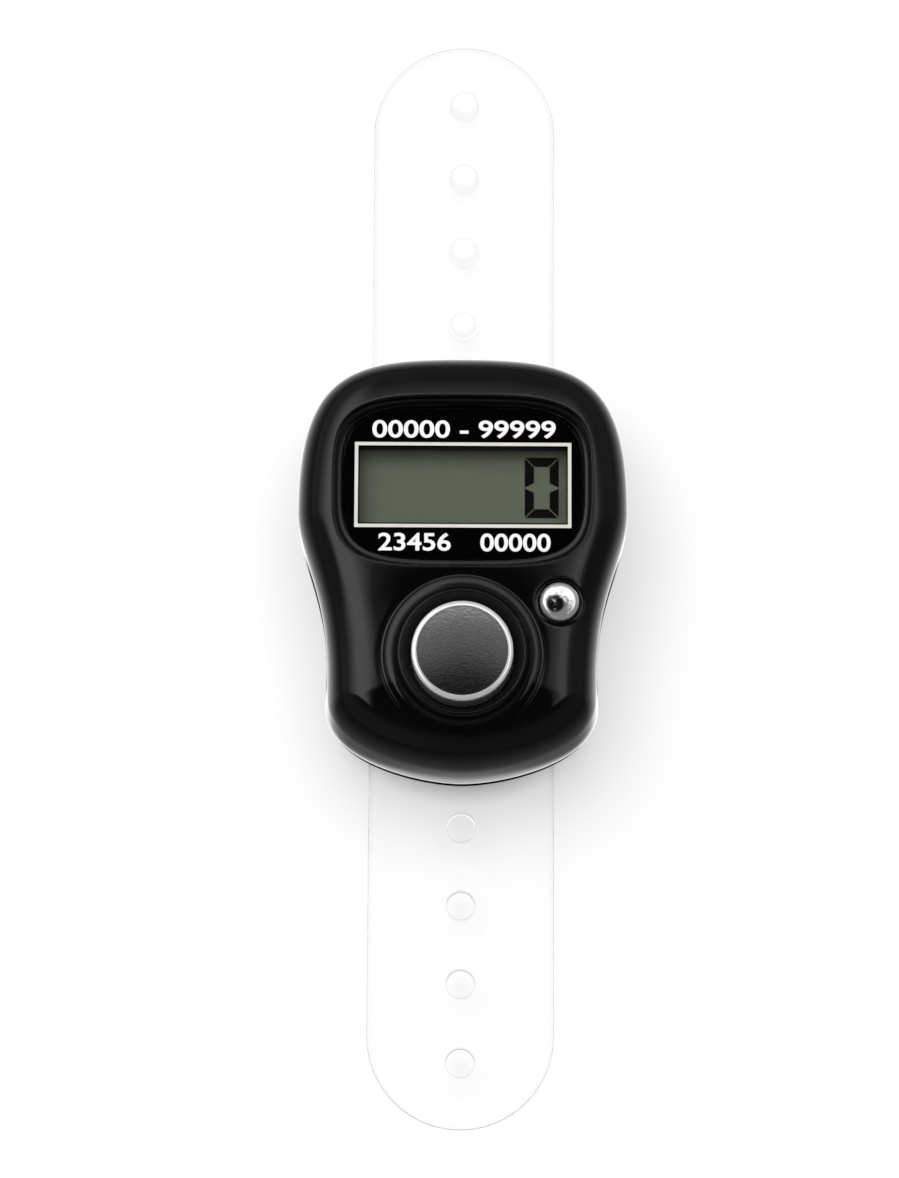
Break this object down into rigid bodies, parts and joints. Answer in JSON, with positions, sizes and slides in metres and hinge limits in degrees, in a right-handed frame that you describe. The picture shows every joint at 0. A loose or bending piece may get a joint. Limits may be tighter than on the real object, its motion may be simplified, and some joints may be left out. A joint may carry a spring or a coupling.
{
  "type": "finger tally counter",
  "caption": "Finger-worn electronic tally counter: domed black case with a display window, a large round count button, a small reset button and a clear strap with pegs and holes.",
  "frame": {"origin": "centre of the flat rear face of the case, which the counter rests on", "axes": "+Z out of the display side, +Y along the strap towards the pegged end, +X to the right as the display is read"},
  "size_m": [0.0294, 0.1, 0.0157],
  "materials": {
    "black_gloss": "polished black moulding",
    "black_satin": "fine satin black moulding",
    "chrome_cap": "chrome-plated plastic",
    "clear_strap": "clear soft plastic with a slight haze",
    "lens_clear": "polished clear plastic",
    "mask_print": "black screen print",
    "silver_print": "silver screen print",
    "adhesive": "thin black tape",
    "lcd_glass": "thin flat glass",
    "lcd_film": "neutral polarising film",
    "lcd_back": "grey-green reflective film",
    "lcd_ink": "dark liquid-crystal segments",
    "white_plastic": "white moulding",
    "foam": "soft white foam",
    "zebra": "layered grey silicone rubber",
    "board": "green solder mask",
    "gold_pad": "thin gold plating",
    "resin": "black potting resin",
    "ceramic_chip": "tan ceramic",
    "key_rubber": "grey silicone rubber",
    "carbon": "carbon-loaded rubber",
    "cell_steel": "nickel-plated steel can",
    "spring_metal": "phosphor bronze strip",
    "screw_steel": "zinc-plated steel"
  },
  "bodies": {
    "case": {"front_shell": "black_gloss", "rear_cover": "black_satin", "window_lens": "lens_clear", "window_mask": "mask_print", "window_border": "silver_print", "window_tape": "adhesive", "lcd_front_polariser": "lcd_film", "lcd_front_glass": "lcd_glass", "lcd_seal": "resin", "lcd_digit": "lcd_ink", "lcd_rear_glass": "lcd_glass", "lcd_reflector": "lcd_back", "lcd_holder": "white_plastic", "lcd_foam": "foam", "zebra_strip": "zebra", "circuit_board": "board", "contact_pads": "gold_pad", "chip_blob": "resin", "chip_capacitor": "ceramic_chip", "count_rubber": "key_rubber", "reset_rubber": "key_rubber", "button_cell": "cell_steel", "negative_spring": "spring_metal", "positive_spring": "spring_metal", "case_screws": "screw_steel", "strap_middle": "clear_strap"},
    "count_key": {"count_button": "chrome_cap", "count_pill": "carbon"},
    "reset_key": {"reset_button": "chrome_cap", "reset_pill": "carbon"},
    "strap_peg_end": {"strap_upper": "clear_strap"},
    "strap_hole_end": {"strap_lower": "clear_strap"}
  },
  "joints": [
    {"name": "count_press", "type": "slide", "parent": "case", "child": "count_key", "axis": [0, 0, -1], "range_m": [0, 0.0008], "stiffness_N_per_m": 600, "deforming": ["count_rubber"]},
    {"name": "reset_press", "type": "slide", "parent": "case", "child": "reset_key", "axis": [0, 0, -1], "range_m": [0, 0.0005], "stiffness_N_per_m": 400, "deforming": ["reset_rubber"]},
    {"name": "peg_end_bend", "type": "hinge", "parent": "case", "child": "strap_peg_end", "pos_m": [0, 0.0198, 0.00205], "axis": [-1, 0, 0], "range_deg": [-60, 100], "stiffness_Nm_per_rad": 0.005},
    {"name": "hole_end_bend", "type": "hinge", "parent": "case", "child": "strap_hole_end", "pos_m": [0, -0.0198, 0.00205], "axis": [1, 0, 0], "range_deg": [-60, 100], "stiffness_Nm_per_rad": 0.005}
  ]
}
